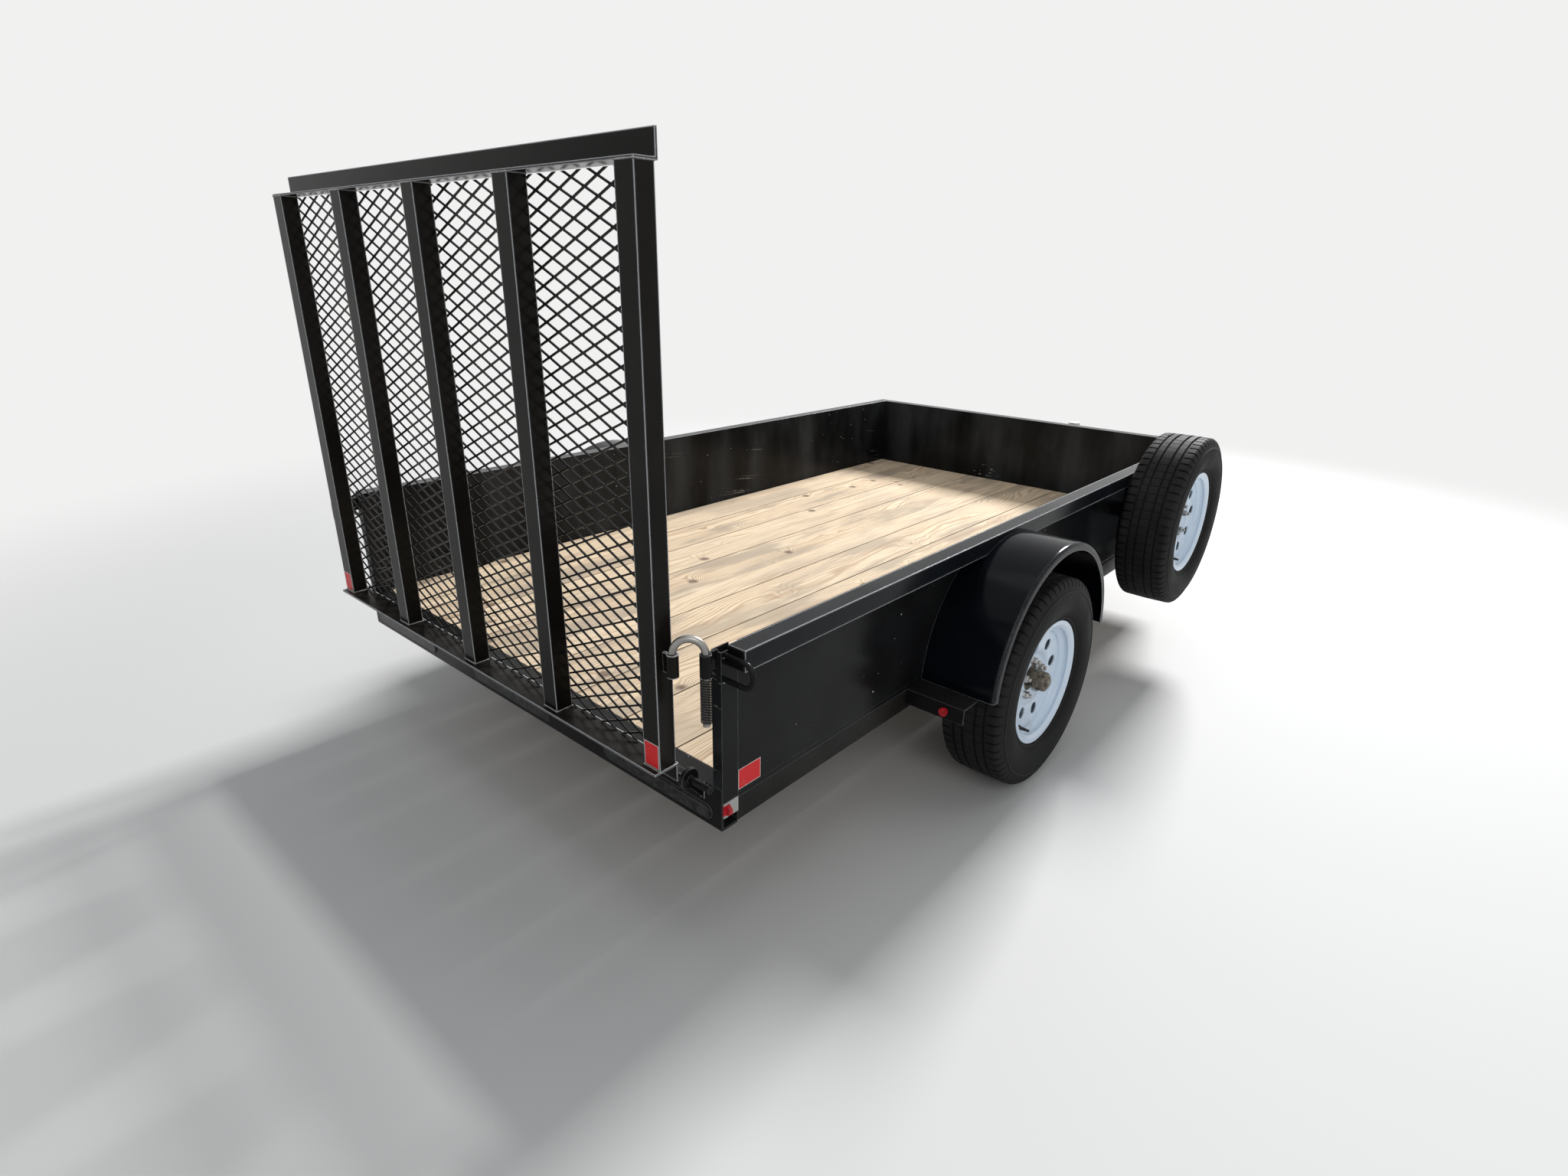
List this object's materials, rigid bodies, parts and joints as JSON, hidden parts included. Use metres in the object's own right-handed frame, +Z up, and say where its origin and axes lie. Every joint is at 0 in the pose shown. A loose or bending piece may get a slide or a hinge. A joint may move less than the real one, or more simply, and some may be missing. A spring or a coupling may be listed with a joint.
{
  "type": "single axle utility trailer",
  "caption": "Single axle utility trailer with solid steel sides, a board deck, round fenders, a side-mounted spare wheel, a mesh ramp gate at the rear and a tongue jack.",
  "frame": {"origin": "on the ground under the middle of the bounding box", "axes": "+X forward along the tongue, +Y to the trailer's left, +Z up"},
  "size_m": [4.2799, 2.178, 1.705],
  "materials": {
    "frame_black": "semi-gloss black enamel with dust",
    "pine_boards": "rough sawn treated pine",
    "rim_white": "gloss white enamel",
    "tyre_rubber": "matt rubber",
    "hub_metal": "dusty bare metal",
    "zinc_steel": "bright zinc plate",
    "lamp_lens": "clear moulded lens over grey",
    "red_lens": "clear red lens"
  },
  "bodies": {
    "chassis": {"frame_rails": "frame_black", "crossmembers": "frame_black", "rear_channel": "frame_black", "lamp_bars": "lamp_lens", "deck_boards": "pine_boards", "side_walls": "frame_black", "front_wall": "frame_black", "side_rails": "frame_black", "front_rail_tube": "frame_black", "front_channel": "frame_black", "corner_posts": "frame_black", "fenders": "frame_black", "fender_brackets": "frame_black", "spare_tyre": "tyre_rubber", "spare_rim": "rim_white", "spare_carrier": "frame_black", "axle": "frame_black", "leaf_springs": "frame_black", "spring_hangers": "frame_black", "axle_clamps": "zinc_steel", "hinge_lugs": "frame_black", "post_sleeves": "frame_black", "latch_rods": "zinc_steel", "latch_springs": "zinc_steel", "corner_loops": "frame_black", "tie_loops": "frame_black", "marker_lamps": "red_lens", "tongue_right": "frame_black", "tongue_left": "frame_black", "coupler": "frame_black", "coupler_latch": "zinc_steel", "jack_tube": "zinc_steel", "jack_crank": "zinc_steel"},
    "gate": {"gate_posts": "frame_black", "gate_top_angle": "frame_black", "gate_bottom_angle": "frame_black", "gate_mesh": "frame_black", "gate_knuckles": "frame_black", "gate_sleeves": "frame_black"},
    "jack_stand": {"jack_leg": "zinc_steel"},
    "wheel_left": {"tyre_left": "tyre_rubber", "rim_left": "rim_white", "hub_left": "hub_metal"},
    "wheel_right": {"tyre_right": "tyre_rubber", "rim_right": "rim_white", "hub_right": "hub_metal"}
  },
  "joints": [
    {"name": "gate_hinge", "type": "hinge", "parent": "chassis", "child": "gate", "pos_m": [-2.061, 0, 0.472], "axis": [0, -1, 0], "range_deg": [0, 110]},
    {"name": "wheel_left_spin", "type": "hinge", "parent": "chassis", "child": "wheel_left", "pos_m": [-0.843, 0.973, 0.3315], "axis": [0, 1, 0], "continuous": true},
    {"name": "wheel_right_spin", "type": "hinge", "parent": "chassis", "child": "wheel_right", "pos_m": [-0.843, -0.973, 0.3315], "axis": [0, 1, 0], "continuous": true},
    {"name": "jack_slide", "type": "slide", "parent": "chassis", "child": "jack_stand", "axis": [0, 0, 1], "range_m": [0, 0.19]}
  ]
}
